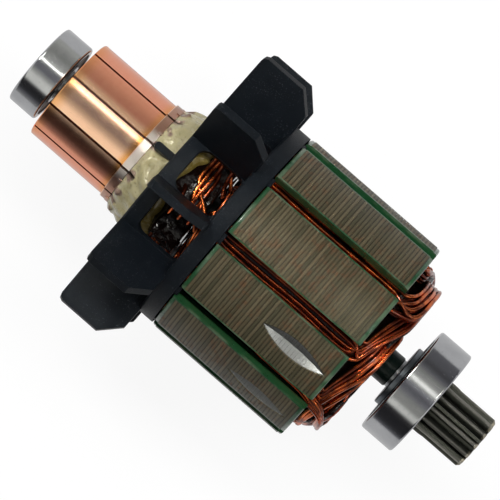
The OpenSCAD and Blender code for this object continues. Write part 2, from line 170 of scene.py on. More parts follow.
def close(material, shade, height, depth, edge=0.0, **sockets):
    """The shader at a material's end, with a bump of that depth and softened edges, both in millimetres."""
    named = {name.replace("_", " "): value for name, value in sockets.items()}
    bump = {"Height": height, "Strength": 1.0, "Distance": depth / MM}
    if edge:
        bump["Normal"] = shade.node("ShaderNodeBevel", {"samples": 4}, {"Radius": edge / MM})
    named["Normal"] = shade.node("ShaderNodeBump", {}, bump)
    surface = shade.node("ShaderNodeBsdfPrincipled", {}, named)
    shade.node("ShaderNodeOutputMaterial", {}, {"Surface": surface})
    return material


def finish_node(name, material):
    part[name].data.materials.clear()
    part[name].data.materials.append(material)


def turned_steel(name, clean, oily, rough, marks_depth, marks_scale=9.0, edge=0.0):
    """Steel with rings of tool marks, and a cloudy film of oil that dulls it here and there.
    rough is how rough it is where it is clean and where it is oily."""
    material, shade = new_finish(name)
    where = along(shade)[0]
    marks = turning_marks(shade, where, marks_scale)
    film = cloud(shade, where, 0.35, 4.0)
    spots = step(shade, cloud(shade, where, 3.1, 2.0), 0.62, 0.75)
    steel = blend(shade, film * 0.8 + spots * 0.4, clean, oily)
    return close(material, shade, marks, marks_depth, edge, Base_Color=steel, Metallic=1.0,
                 Roughness=film * (rough[1] - rough[0]) + rough[0] + spots * 0.12)


ground_steel = turned_steel("ground_steel", tint(172, 174, 176), tint(120, 121, 122), rough=(0.2, 0.4),
                            marks_depth=0.004, marks_scale=14.0)
finish_node("shaft", ground_steel)


# ---- Laminated core ----
# Forty punched plates of silicon steel are stacked on the shaft, and their rims are turned to size.
# Bare and oiled, they look olive brown, with a line at each joint and specks of rust on the handled ones.

PLATE_PITCH = 0.615
TURNED_RIM = 18.62
POCKET_DEEPEST = 17.3
core_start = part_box("lamination_stack")[0].x * MM

material, shade = new_finish("core_steel")
where, x, radius = along(shade)
plate = (x - core_start) / PLATE_PITCH
plate_tone = shade.node("ShaderNodeTexWhiteNoise", {"noise_dimensions": "1D"},
                        {"W": shade.maths("FLOOR", plate)})
across_plate = shade.maths("FRACT", plate)
lip = step(shade, across_plate, 0.5, 0.98) + (1 - step(shade, across_plate, 0.02, 0.3)) * 0.6
handled = cloud(shade, where, 0.16, 3.0)
rust = step(shade, cloud(shade, where, 0.9, 6.0, 0.7), 0.46, 0.66) * step(shade, handled, 0.38, 0.62)
scuff = turning_marks(shade, where, 5.0)
lip = lip * (cloud(shade, where, 1.5, 4.0, 0.7) * 1.3 + 0.3)
olive = blend(shade, plate_tone * 0.7 + scuff * 0.3, tint(56, 54, 37), tint(94, 85, 64))
rusty = blend(shade, rust * 0.55, olive, tint(100, 56, 30))
steel = blend(shade, shade.node("ShaderNodeClamp", {}, {"Value": lip * 0.72}), rusty, tint(24, 21, 14))
milled = blend(shade, turning_marks(shade, where, 11.0), tint(140, 141, 140), tint(106, 107, 106))
below_rim = 1 - step(shade, radius, TURNED_RIM - 0.07, TURNED_RIM)
pocket = below_rim * step(shade, radius, POCKET_DEEPEST, POCKET_DEEPEST + 0.2)
core_steel = close(material, shade, ((1 - lip) * 0.8 + scuff * 0.25) * (1 - pocket), 0.05,
                   Base_Color=blend(shade, pocket, steel, milled), Metallic=pocket * 0.6 + 0.3,
                   Roughness=0.44 + rust * 0.2 - pocket * 0.06, Specular_IOR_Level=0.35)
finish_node("lamination_stack", core_steel)


# ---- Epoxy coat ----
# The core is dipped hot in green epoxy powder, which melts to a coat in the slots, on both end plates
# and along the bare shaft, so that the wires never touch steel. It is shiny, with soft waves and pinholes.

SLEEVE_RADIUS = 3.6
COAT_RIM = 18.5

material, shade = new_finish("green_epoxy")
where, x, radius = along(shade)
waves = cloud(shade, where, 0.9, 2.0)
pinholes = step(shade, cloud(shade, where, 4.2, 1.0), 0.68, 0.78)
# On the bare shaft the coat is painted near black and left without gloss: painted shade under the end turns.
shaded_sleeve = 1 - step(shade, radius, SLEEVE_RADIUS - 0.4, SLEEVE_RADIUS)
powder = blend(shade, waves, tint(14, 48, 26), tint(30, 70, 40))
rim = step(shade, radius, COAT_RIM - 0.4, COAT_RIM)
rim = rim * step(shade, cloud(shade, where, 0.3, 3.0), 0.4, 0.62)
powder = blend(shade, rim * 0.3, powder, tint(112, 122, 100))
powder = blend(shade, shaded_sleeve, powder, tint(7, 18, 14))
green_epoxy = close(material, shade, waves - pinholes * 0.5, 0.12, 0.12,
                    Base_Color=blend(shade, pinholes * 0.5, powder, tint(20, 44, 26)),
                    Roughness=waves * 0.2 + 0.2 - shaded_sleeve * 0.08, Coat_Weight=0.7 - shaded_sleeve * 0.7,
                    Coat_Roughness=0.1, Specular_IOR_Level=0.2)
finish_node("core_insulation", green_epoxy)


# ---- Coils ----
# Each coil is fourteen turns of enamelled copper, laid through two slots and over its neighbours by a flyer.
# Varnish then runs in between the turns, stays shiny in the gaps, and glues the whole winding.
# Its black in the gaps is varnish and painted shade between the turns together.

SLOTS = 10
SLOT_PITCH = 36.0
COIL_SPAN = 4 * SLOT_PITCH
HALF_SPAN = COIL_SPAN / 2
TURNS = 14
WIRE_RADIUS = 0.34
WIRE_SIDES = 8
COAT_ENDS = {1: -11.33, -1: -37.27}


def ease(value, low, high):
    share = min(1.0, max(0.0, (value - low) / (high - low)))
    return share * share * (3 - 2 * share)


def between(first, second, share):
    return [a + (b - a) * share for a, b in zip(first, second)]


def spot(angle, radius, x):
    """A point at that angle round the shaft, distance out from it and place along it."""
    turn = math.radians(angle)
    return Vector((x, radius * math.sin(turn), -radius * math.cos(turn)))


# A coil's bundle has one side low in its first slot and the other high in its second: radii and half widths
LOW_SIDE = (9.15, 12.7)
LOW_HALF = (0.38, 1.5)
HIGH_SIDE = (12.9, 16.2)
HIGH_HALF = (1.55, 2.3)
# Round the core's end it is a flat ribbon, that dives to these radii and climbs away from the core
LOW_RAMP = (4.0, 8.8)
HIGH_RAMPS = {1: (9.2, 14.4), -1: (9.2, 13.0)}
RAMP_RISE = 2.25
LIFT = 1.1
LAYER = 0.95


def slot_corners(angle, radii, half, way, x):
    """Corners of the bundle where it lies in a slot."""
    inner = way * math.degrees(math.asin(half[0] / radii[0]))
    outer = way * math.degrees(math.asin(half[1] / radii[1]))
    return [spot(angle + inner, radii[0], x), spot(angle + outer, radii[1], x),
            spot(angle - outer, radii[1], x), spot(angle - inner, radii[0], x)]


def swing_corners(share, angle, radii, half, way, end, height):
    """Corners of the bundle that share of the way through its bend out of a slot."""
    inner = way * math.degrees(math.asin(half[0] / radii[0]))
    outer = way * math.degrees(math.asin(half[1] / radii[1]))
    over = 1 - 2 * math.cos(math.radians(90 * share))
    x0 = COAT_ENDS[end] + end * height * share
    x1 = x0 + end * LAYER * math.sin(math.radians(90 * share))
    return [spot(angle + inner, radii[0], x0), spot(angle + outer, radii[1], x0),
            spot(angle + over * outer, radii[1], x1), spot(angle + over * inner, radii[0], x1)]


def ramp_height(angle):
    """How far the ribbon is off the coat, at an angle from its low slot."""
    if angle < HALF_SPAN:
        return between([angle / HALF_SPAN * RAMP_RISE], [LIFT + RAMP_RISE], ease(angle, 54, 68))[0]
    return LIFT + min(1.0, (COIL_SPAN - angle) / HALF_SPAN) * RAMP_RISE


def ramp_radii(angle, high_ramp):
    """The ribbon's inner and outer radius there."""
    if angle < 60:
        return between(LOW_SIDE, LOW_RAMP, ease(angle, 3, 19))
    if angle < 100:
        return between(LOW_RAMP, high_ramp, ease(angle, 68, 84))
    return between(high_ramp, HIGH_SIDE, ease(angle, COIL_SPAN - 22, COIL_SPAN - 7))


def end_turn(end):
    """Corners of the bundle at stations from its low slot, round the end of the core, to its high slot."""
    first = math.degrees(math.asin(LOW_HALF[1] / LOW_SIDE[1]))
    last = COIL_SPAN - math.degrees(math.asin(HIGH_HALF[1] / HIGH_SIDE[1]))
    in_slot = COAT_ENDS[end] - end * 0.4
    stations = [slot_corners(0, LOW_SIDE, LOW_HALF, 1, in_slot)]
    stations += [swing_corners(t, 0, LOW_SIDE, LOW_HALF, 1, end, 0) for t in (0.3, 0.7)]
    for angle in (first, 12, 16, 20, 30, 42, 54, 59, 64, 68, 72, 76, 80, 84, 94, 107, 120, 126, 132, last):
        radii = ramp_radii(angle, HIGH_RAMPS[end])
        x0 = COAT_ENDS[end] + end * ramp_height(angle)
        x1 = x0 + end * LAYER
        stations.append([spot(angle, radii[0], x0), spot(angle, radii[1], x0),
                         spot(angle, radii[1], x1), spot(angle, radii[0], x1)])
    stations += [swing_corners(t, COIL_SPAN, HIGH_SIDE, HIGH_HALF, -1, end, LIFT) for t in (0.7, 0.3)]
    stations.append(slot_corners(COIL_SPAN, HIGH_SIDE, HIGH_HALF, -1, in_slot))
    return stations


def in_rows(rows):
    """Places in a slot for the turns, from the mouth down: (share outwards, share across)."""
    places = []
    for out, count in rows:
        places += [(out, (i + 0.5) / count) for i in range(count)]
    return places


LOW_PLACES = in_rows([(0.9, 4), (0.7, 4), (0.5, 3), (0.3, 2), (0.12, 1)])
HIGH_PLACES = in_rows([(0.92, 6), (0.7, 5), (0.48, 3)])
RAMP_PLACES = [(0.93 - 0.86 * (i // 2) / 6, 0.34 if i % 2 else 0.72) for i in range(TURNS)]


def within(corners, place):
    """The point at a turn's place among the bundle's four corners."""
    out, over = place
    near = corners[0].lerp(corners[1], out)
    far = corners[3].lerp(corners[2], out)
    return near.lerp(far, over)


def wander(wire, run, seed):
    """How far a turn strays from its place in the bundle, outwards and across."""
    return (noise.noise(Vector((wire * 7.3, run * 0.23, seed * 3.7))) * 0.1,
            noise.noise(Vector((wire * 5.1, run * 0.31, seed * 2.3 + 40))) * 0.16)


def strayed(place, stray, share):
    """A turn's place, moved by that share of how far it strays."""
    return [place[0] + stray[0] * share, place[1] + stray[1] * share]


pinion_end = end_turn(1)
fan_end = end_turn(-1)
SQUEEZED_COIL = 2
SQUEEZE = 0.58


def high_place(wire, coil):
    """A turn's place in its coil's high slot. The last coil shares its slot's mouth with the squeezed one."""
    out, over = HIGH_PLACES[wire]
    if coil == SQUEEZED_COIL:
        over = over * SQUEEZE
    return out, over


STEEP_COIL = 0
QUICK_COILS = (1, 2)
RIBBON_LANES = 4
RIBBON_RADIUS = 15.95
MOUTH_ANGLE = 10.4
ROW = 0.6


def ribbon(wire, coil):
    """The outer half of a turn at the pinion's end: a ribbon four wires wide, that leaves its slot,
    climbs away from the core and dives under the next coil's ribbon."""
    lane = (wire * 3 % RIBBON_LANES) / (RIBBON_LANES - 1)
    layer = wire // RIBBON_LANES
    leave = MOUTH_ANGLE * (0.5 - lane)
    bulge = 0.25 if coil == STEEP_COIL else 0.0
    points = []
    for back in (62, 52, 43, 35, 28, 21, 15, 9, 4, 1):
        low = 0.45 + 2.0 * ease(back, 4, 46)
        if coil == STEEP_COIL:
            low = 0.5 + 1.3 * ease(back, -1, 14)
            high = 1.0 + 3.1 * ease(back, -4, 6)
        elif coil in QUICK_COILS:
            high = 0.9 + 3.2 * ease(back, -6, 36)
        else:
            high = 0.9 + 3.1 * ease(back, 0, 66)
            low = 0.45 + 1.2 * ease(back, 8, 66)
        stray = noise.noise(Vector((wire * 4.1, back * 0.055, coil * 3.3 + 9)))
        stray_out = noise.noise(Vector((wire * 2.7, back * 0.048, coil * 5.1 + 31)))
        radius = RIBBON_RADIUS + bulge - ROW * layer - 0.047 * back + 0.2 * stray_out
        angle = COIL_SPAN - back - leave * (1 - ease(back, 0, 14))
        height = low + (high - low) * min(1.0, max(0.0, lane + 0.22 * stray))
        points.append(spot(angle, radius, COAT_ENDS[1] + height))
    return points


LAST_COIL = 6
LAST_TURNS = 6
LAST_LANES = 3
LAST_RADIUS = 16.9
LAST_CLIMB = ((0, 0.1), (0.5, 1.1), (2, 2.2), (6, 3.2), (14, 3.5), (24, 3.45), (34, 3.4), (44, 3.4))


def last_lane(wire):
    """Which of the last coil's lanes a turn is in, from 0 to 1, and the angle at which that starts."""
    lane = (wire % LAST_LANES) / (LAST_LANES - 1)
    return lane, 1.0 + 4.2 * lane


def last_side(wire):
    """The last coil's outer turns, which run straight out over all others before they turn back."""
    lane, start = last_lane(wire)
    layer = wire // LAST_LANES
    points = []
    for ahead, height in LAST_CLIMB:
        stray = noise.noise(Vector((wire * 3.9, ahead * 0.1, 7.7)))
        radius = LAST_RADIUS - ROW * layer - 0.075 * ahead
        angle = start + ahead + stray
        rise = height * (0.78 + 0.2 * lane + 0.08 * stray)
        points.append(spot(angle, radius, COAT_ENDS[1] + rise))
    return points


FLAT_PART = 10
SLOT_SHARES = (0.06, 0.2, 0.4, 0.6, 0.8, 0.94)


def wire_points(wire, coil):
    """One turn's points round its coil, which is first drawn from the first slot."""
    points = []
    raised = coil == LAST_COIL and wire < LAST_TURNS
    if raised:
        points += last_side(wire)
        points.append(within(pinion_end[FLAT_PART], RAMP_PLACES[wire]).lerp(points[-1], 0.3))
    else:
        for run in range(FLAT_PART):
            stray = wander(wire, run, coil)
            place = between(LOW_PLACES[wire], RAMP_PLACES[wire], ease(run, 0, 6))
            share = ease(run, 1, 5)
            points.append(within(pinion_end[run], strayed(place, stray, share)))
    outer_half = ribbon(wire, coil)
    points.append(within(pinion_end[FLAT_PART + 2], RAMP_PLACES[wire]).lerp(outer_half[0], 0.4))
    points += outer_half
    high = high_place(wire, coil)
    points.append(within(pinion_end[-1], high))
    for share in SLOT_SHARES:
        stray = wander(wire, share * 9, coil + 11)
        place = strayed(high, stray, math.sin(math.pi * share) * 0.9)
        points.append(within(pinion_end[-1], place).lerp(within(fan_end[-1], place), share))
    count = len(fan_end) - 1
    for i, corners in enumerate(reversed(fan_end)):
        run = count - i
        place = between(LOW_PLACES[wire], RAMP_PLACES[wire], ease(run, 0, 6))
        place = between(place, high, ease(run, 18, count))
        stray = wander(wire, run + 50, coil)
        share = ease(run, 1, 5) * (1 - ease(run, count - 4, count - 1))
        points.append(within(corners, strayed(place, stray, share)))
    for share in SLOT_SHARES:
        stray = wander(wire, share * 9 + 20, coil + 11)
        place = strayed(LOW_PLACES[wire], stray, math.sin(math.pi * share) * 0.7)
        here = within(fan_end[0], place).lerp(within(pinion_end[0], place), share)
        if raised:
            up = spot(last_lane(wire)[1], LAST_RADIUS - 1 - ROW * (wire // LAST_LANES), here.x)
            here = here.lerp(up, ease(share, 0.1, 0.5))
        points.append(here)
    return points


def wire_tree():
    """Geometry nodes that draw round wire along curves. Each has a random tone, and painted shade makes it
    darker the further in from the coil's outside it lies."""
    tree = bpy.data.node_groups.new("draw_wire", "GeometryNodeTree")
    for name, kind in (("Geometry", "Geometry"), ("Wire radius", "Float"), ("Sides", "Int"), ("Seed", "Int"),
                       ("Turns to full shade", "Float"), ("Finish", "Material")):
        tree.interface.new_socket(name, in_out="INPUT", socket_type="NodeSocket" + kind)
    tree.interface.new_socket("Geometry", in_out="OUTPUT", socket_type="NodeSocketGeometry")
    given = tree.nodes.new("NodeGroupInput")
    shape = tree.nodes.new("GeometryNodeCurvePrimitiveCircle")
    tone = tree.nodes.new("FunctionNodeRandomValue")
    number = tree.nodes.new("GeometryNodeInputIndex")
    depth = tree.nodes.new("ShaderNodeMath")
    depth.operation = "DIVIDE"
    tone_and_shade = tree.nodes.new("ShaderNodeMath")
    tone_and_shade.operation = "SUBTRACT"
    mark = tree.nodes.new("GeometryNodeStoreNamedAttribute")
    draw = tree.nodes.new("GeometryNodeCurveToMesh")
    smooth = tree.nodes.new("GeometryNodeSetShadeSmooth")
    dress = tree.nodes.new("GeometryNodeSetMaterial")
    real = tree.nodes.new("GeometryNodeRealizeInstances")
    result = tree.nodes.new("NodeGroupOutput")
    mark.data_type = "FLOAT"
    mark.domain = "CURVE"
    mark.inputs["Name"].default_value = "wire_tone"
    draw.inputs["Fill Caps"].default_value = True
    link = tree.links.new
    link(given.outputs["Sides"], shape.inputs["Resolution"])
    link(given.outputs["Wire radius"], shape.inputs["Radius"])
    link(given.outputs["Seed"], tone.inputs["Seed"])
    link(given.outputs["Geometry"], mark.inputs["Geometry"])
    # Painted shade: the tone drops with each turn further in from the coil's outside.
    link(number.outputs["Index"], depth.inputs[0])
    link(given.outputs["Turns to full shade"], depth.inputs[1])
    link(tone.outputs[1], tone_and_shade.inputs[0])
    link(depth.outputs[0], tone_and_shade.inputs[1])
    link(tone_and_shade.outputs[0], mark.inputs["Value"])
    link(mark.outputs["Geometry"], draw.inputs["Curve"])
    link(shape.outputs["Curve"], draw.inputs["Profile Curve"])
    link(draw.outputs["Mesh"], smooth.inputs["Geometry"])
    link(smooth.outputs["Geometry"], real.inputs["Geometry"])
    link(real.outputs["Geometry"], dress.inputs["Geometry"])
    link(given.outputs["Finish"], dress.inputs["Material"])
    link(dress.outputs["Geometry"], result.inputs["Geometry"])
    return tree


draw_wire = wire_tree()


def settle(name, source, nodes=()):
    """The evaluated object as a plain mesh that rides on the armature, in place of those nodes."""
    evaluated = source.evaluated_get(bpy.context.evaluated_depsgraph_get())
    mesh = bpy.data.meshes.new_from_object(evaluated)
    bpy.data.objects.remove(source)
    settle_mesh(name, mesh, nodes)


def settle_mesh(name, mesh, nodes=()):
    """A mesh as a piece that rides on the armature, in place of those nodes."""
    mesh.name = name
    piece = bpy.data.objects.new(name, mesh)
    bpy.context.scene.collection.objects.link(piece)
    if nodes:
        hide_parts(*nodes)
    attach(piece, ARMATURE)


NEVER_SHADED = 1000.0


def wires(name, routes, closed, seed, nodes, full_shade=NEVER_SHADED):
    """Round wires along routes of points in millimetres, as one piece in place of those nodes. The last
    argument is how many turns in from the outside a wire is painted all dark, as painted shade."""
    curve = bpy.data.curves.new(name + "_run", "CURVE")
    curve.dimensions = "3D"
    for route in routes:
        spline = curve.splines.new("NURBS")
        spline.points.add(len(route) - 1)
        for point, place in zip(spline.points, route):
            point.co = (place.x / MM, place.y / MM, place.z / MM, 1.0)
        spline.order_u = 4
        spline.use_cyclic_u = closed
        spline.use_endpoint_u = not closed
        spline.resolution_u = 2
    source = bpy.data.objects.new(name + "_run", curve)
    bpy.context.scene.collection.objects.link(source)
    drawn = source.modifiers.new("wire", "NODES")
    drawn.node_group = draw_wire
    given = {"Wire radius": WIRE_RADIUS / MM, "Sides": WIRE_SIDES, "Seed": seed, "Finish": enamelled_copper,
             "Turns to full shade": full_shade}
    for item in draw_wire.interface.items_tree:
        if item.in_out == "INPUT" and item.name in given:
            drawn[item.identifier] = given[item.name]
    settle(name, source, nodes)


material, shade = new_finish("enamelled_copper")
where = along(shade)[0]
# The wire's tone holds its random tone less its painted shade, which grows the deeper the turn lies.
tone = shade.node("ShaderNodeAttribute", {"attribute_name": "wire_tone"}, output="Fac")
pooled = step(shade, cloud(shade, where, 0.42, 3.0), 0.4, 0.62)
flecks = cloud(shade, where, 2.6, 3.0)
bright = blend(shade, tone, tint(160, 62, 22), tint(240, 124, 56))
# Turns deep in the coil are painted dark brown: painted shade between the turns.
bright = blend(shade, step(shade, tone, -1.2, 0.1), tint(48, 15, 7), bright)
wire_colour = blend(shade, pooled * 0.8 + flecks * 0.1, bright, tint(84, 28, 10))
enamelled_copper = close(material, shade, flecks, 0.03, Base_Color=wire_colour, Metallic=1.0,
                         Roughness=pooled * 0.1 + 0.2 + flecks * 0.06, Coat_Weight=0.45,
                         Coat_Roughness=0.07)

# Glossy near black: varnish and painted shade together, for the gaps between turns and the inside of the
# fan's hub.
material, shade = new_finish("black_varnish_and_shade")
where = along(shade)[0]
drips = cloud(shade, where, 0.8, 3.0)
tar = blend(shade, drips, tint(5, 3, 3), tint(20, 9, 6))
black_varnish_and_shade = close(material, shade, drips, 0.25, Base_Color=tar, Roughness=drips * 0.05 + 0.05,
                      Specular_IOR_Level=0.25)


def skin(mesh_name, rings, finish):
    """A closed skin over rings of points in millimetres, the last of which joins the first."""
    body = bmesh.new()
    rows = [[body.verts.new(p / MM) for p in ring] for ring in rings]
    count = len(rows[0])
    for one, two in zip(rows, rows[1:] + rows[:1]):
        for j in range(count):
            k = (j + 1) % count
            body.faces.new((one[j], one[k], two[k], two[j]))
    bmesh.ops.recalc_face_normals(body, faces=body.faces)
    mesh = bpy.data.meshes.new(mesh_name)
    body.to_mesh(mesh)
    body.free()
    mesh.materials.append(finish)
    mesh.shade_smooth()
    return mesh


# How many turns in from a coil's outside its painted shade is darkest
COIL_SHADE_TURNS = 9.0
# Varnish fills most of a coil's bundle, and less of it from the station at which it climbs to its high slot
FILL = 0.8
CLIMB_FILL = 0.45
CLIMB = 17

for number in range(SLOTS):
    turn = Matrix.Rotation(math.radians(number * SLOT_PITCH), 3, "X")
    routes = [[turn @ p for p in wire_points(wire, number)] for wire in range(TURNS)]
    wires(f"coil_{number + 1}_turns", routes, True, number, [f"coil_{number + 1}"], COIL_SHADE_TURNS)
    # Each bundle gets a black core of varnish and painted shade, which fills the gaps between its turns.
    rings = []
    for i, corners in enumerate(pinion_end + list(reversed(fan_end))):
        middle = (corners[0] + corners[1] + corners[2] + corners[3]) / 4
        fill = CLIMB_FILL if CLIMB < i < len(pinion_end) - 1 else FILL
        rings.append([turn @ middle.lerp(p, fill) for p in corners])
    settle_mesh(f"coil_{number + 1}_varnish", skin("varnish", rings, black_varnish_and_shade))


def ring_skin(name, stations, outside, inner, around, finish, edge=None):
    """A ring round the shaft with an uneven outside: outside(x, angle) is its radius, and inner is its bore.
    edge(angle), where given, moves its last stations along the shaft."""
    rings = []
    for i in range(around):
        angle = 360 * i / around
        ring = []
        for x in stations:
            shift = edge(angle) * ease(x, stations[0], stations[-1]) if edge else 0.0
            ring.append(spot(angle, outside(x, angle), x + shift))
        end = ring[-1].x
        rings.append(ring + [spot(angle, inner, end), spot(angle, inner, stations[0])])
    return skin(name, rings, finish)


def lumps(x, angle, along_scale, round_scale):
    """Noise round the shaft that has no seam, from -1 to 1."""
    turn = math.radians(angle)
    return noise.noise(Vector((x * along_scale, math.cos(turn) * round_scale, math.sin(turn) * round_scale)))


# A black ring of varnish and painted shade lies under the turns at the pinion's end.
TURNS_VARNISH_RADIUS = 13.1
TURNS_VARNISH_BORE = 5.2


def turns_varnish_radius(x, angle):
    return TURNS_VARNISH_RADIUS - 0.5 * (x - COAT_ENDS[1]) + 0.5 * lumps(x, angle, 0.5, 5)


stations = [COAT_ENDS[1] + 0.02 + 0.3 * i for i in range(10)]
mesh = ring_skin("turns_varnish_and_shade", stations, turns_varnish_radius, TURNS_VARNISH_BORE, 150, black_varnish_and_shade)
settle_mesh("turns_varnish_and_shade", mesh)


# ---- Commutator ----
# Ten copper bars are gripped by their dovetails in a brown phenolic hub, and turned true once it has set.
# The riser behind the brush track is tinned, and each bar's tang is bent over the wires and fused to them.

material, shade = new_finish("brown_moulding")
where = along(shade)[0]
grain = cloud(shade, where, 3.0, 5.0, 0.7)
brown = blend(shade, grain, tint(40, 24, 18), tint(82, 52, 38))
brown_moulding = close(material, shade, grain, 0.05, Base_Color=brown, Roughness=grain * 0.2 + 0.5)
finish_node("commutator_hub", brown_moulding)

TRACK_START = -70.6
TRACK_END = -56.25
FUSED_START = -54.85
SHEEN_HEIGHT = 7.6

material, shade = new_finish("bare_copper")
where, x = along(shade)[:2]
height = x.other("Z")
marks = turning_marks(shade, where, 7.0)
marks_wide = turning_marks(shade, where, 1.6)
speck = step(shade, cloud(shade, where, 5.5, 2.0), 0.66, 0.76)
riser = step(shade, x, TRACK_END - 0.06, TRACK_END + 0.06)
# The bar that faces +Z, towards the camera and the soft box, is painted paler and golden, with its tinned
# riser near white and its tarnished track ends stronger: a painted sheen of the light on that side.
painted_sheen = step(shade, height, SHEEN_HEIGHT, SHEEN_HEIGHT + 0.7)
ends = step(shade, x, TRACK_END - 1.5, TRACK_END)
ends = ends + (1 - step(shade, x, TRACK_START, TRACK_START + 2.4)) * 0.7
track = blend(shade, marks_wide, tint(246, 160, 130), tint(254, 178, 146))
track = blend(shade, painted_sheen, track, tint(254, 206, 172))
track = blend(shade, ends * (painted_sheen * 0.35 + 0.5), track, tint(238, 160, 62))
track = blend(shade, speck * 0.5, track, tint(166, 92, 70))
tin = blend(shade, cloud(shade, where, 1.1, 3.0), tint(178, 132, 110), tint(198, 156, 138))
tin = blend(shade, painted_sheen, tin, tint(232, 220, 212))
# A thin pale band at the riser's front edge is a painted highlight along its chamfer.
tin = blend(shade, 1 - step(shade, x, TRACK_END + 0.04, TRACK_END + 0.2), tin, tint(252, 208, 178))
fused = step(shade, x, FUSED_START, FUSED_START + 0.15)
burnt = blend(shade, cloud(shade, where, 1.6, 4.0), tint(118, 92, 72), tint(188, 158, 132))
copper = blend(shade, fused, blend(shade, riser, track, tin), burnt)
relief = marks * (1 - fused) + cloud(shade, where, 1.2, 4.0) * fused * 8
bare_copper = close(material, shade, relief, 0.006, Base_Color=copper, Metallic=1.0,
                    Roughness=marks_wide * 0.08 + 0.14 + riser * 0.14 + fused * 0.14)
for number in range(SLOTS):
    finish_node(f"commutator_bar_{number + 1}", bare_copper)


# ---- Leads ----
# Two wires from each tang run back through the resin, and sweep round the shaft side by side to their coils.
# Varnish off the coils lies round them, painted black as varnish and painted shade together,
# so that only their backs shine in the fan's windows.

TANG_RADIUS = 8.35
TANG_X = -54.1
BACK_ANGLE = 12.5
# A lead's first stretch: an angle to either side of its tang, a radius and a place along the shaft
LEAD_STEPS = ((0.0, TANG_RADIUS, TANG_X), (4.0, TANG_RADIUS, TANG_X), (7.0, TANG_RADIUS, TANG_X),
              (10.0, 8.4, -54.0), (11.8, 8.46, -53.6), (BACK_ANGLE, 8.5, -53.0), (BACK_ANGLE, 8.5, -50.0),
              (BACK_ANGLE, 8.9, -48.2))
LEAD_LANES = (-46.1, -45.25, -44.4, -43.5, -42.7)
LEAD_SEED = 77


def lead_points(bar, way):
    """A lead's route from under its tang, through the resin and round to the coils."""
    start = bar * SLOT_PITCH
    lane_x = LEAD_LANES[(bar * 2 + (1 if way > 0 else 0)) % len(LEAD_LANES)]
    lane_r = 11.2 + 0.35 * math.sin(bar * 1.7 + way * 2)
    sweep = 98 + 7 * math.sin(bar * 2.1 + way)
    route = [spot(start + way * a, r, x) for a, r, x in LEAD_STEPS]
    turned = start + way * BACK_ANGLE
    route += [spot(turned + 2, 9.6, -47.3), spot(turned + 6, 10.4, 0.35 * -47 + 0.65 * lane_x)]
    for i in range(8):
        share = (i + 1) / 8
        stray = noise.noise(Vector((bar * 3.3 + way, i * 0.6, 2.0)))
        route.append(spot(turned + 10 + (sweep - 24) * share, lane_r + 0.2 * stray, lane_x + 0.25 * stray))
    route += [spot(turned + sweep - 6, lane_r + 0.2, 0.5 * (lane_x - 42.2)),
              spot(turned + sweep, lane_r + 0.5, -42.0), spot(turned + sweep + 6, lane_r + 0.8, -41.2)]
    return route


lead_routes = [lead_points(bar, way) for bar in range(SLOTS) for way in (-1, 1)]
wires("leads", lead_routes, False, LEAD_SEED, ["lead_wires"])

LEAD_VARNISH_RADIUS = 10.1
LEAD_VARNISH_BORE = 6.5
FAN_BORE = 12.95
POOL_ANGLE = 209.0


def lead_varnish_radius(x, angle):
    """The varnish's lumpy outside. It has pooled thickly on one side, and stays inside the fan's hub."""
    lump = lumps(x, angle, 0.45, 4)
    bead = lumps(x, angle, 0.9, 11)
    pool = math.exp(-((angle - POOL_ANGLE) / 17) ** 2) * ease(x, -47.5, -46.4)
    return min(FAN_BORE, LEAD_VARNISH_RADIUS + 0.1 * (x + 47) + 0.6 * lump + pool * (2.3 + 0.9 * bead))


stations = [-48.4 + 0.3 * i for i in range(22)]
mesh = ring_skin("lead_varnish_and_shade", stations, lead_varnish_radius, LEAD_VARNISH_BORE, 240, black_varnish_and_shade)
settle_mesh("lead_varnish_and_shade", mesh)


# ---- Resin ----
# Cream epoxy is dripped on the leads behind the commutator, while the armature turns, and sets in soft lumps.
# It creeps up between the tangs, and looks olive and glassy where it is thin. Towards the fan it is painted
# darker olive amber, which is thin resin and painted shade under the fan together.

# The resin's outline, as places along the shaft and radii
RESIN_PROFILE = ((-54.72, 9.14), (-54.5, 9.3), (-54.1, 9.6), (-53.6, 9.9), (-53.0, 10.05), (-52.2, 10.3),
                 (-51.4, 10.6), (-50.8, 10.8), (-49.5, 10.85), (-48.2, 10.7), (-47.5, 10.3), (-47.1, 9.6),
                 (-46.95, 8.8))
RESIN_FRONT = RESIN_PROFILE[0][0]
RESIN_BACK = RESIN_PROFILE[-1][0]
RESIN_BORE = 6.85
SLIT_END = -53.35
SLIT_FLOOR = 8.6
# How far its back edge has crept towards the core, at angles round the shaft
CREEP = ((0, 0.2), (40, 0.9), (70, -0.5), (100, 0.6), (132, 1.7), (139, 1.5), (152, -0.3), (174, -1.1),
         (182, -1.0), (194, -0.25), (206, 0.2), (222, 1.3), (250, 0.6), (290, -0.6), (330, 0.7), (360, 0.2))


def knob(x, angle):
    """How far a fused tang's blunt end stands out of the resin there."""
    bar = round(angle / SLOT_PITCH)
    middle_x = -54.05 + 0.35 * math.sin(bar * 2.9)
    middle_a = bar * SLOT_PITCH + 4.5 * math.sin(bar * 4.3 + 1)
    size = 0.45 + 0.3 * math.sin(bar * 1.9 + 2)
    return size * math.exp(-((x - middle_x) / 0.42) ** 2 - ((angle - middle_a) / 3.2) ** 2)


def from_slit(angle):
    """How many degrees there are to the nearest slit between two bars."""
    return abs((angle % SLOT_PITCH) - SLOT_PITCH / 2)


def slit(x, angle):
    """1 where the slit between two bars runs on into the resin."""
    return (1 - ease(from_slit(angle), 1.2, 2.2)) * (1 - ease(x, SLIT_END - 0.3, SLIT_END))


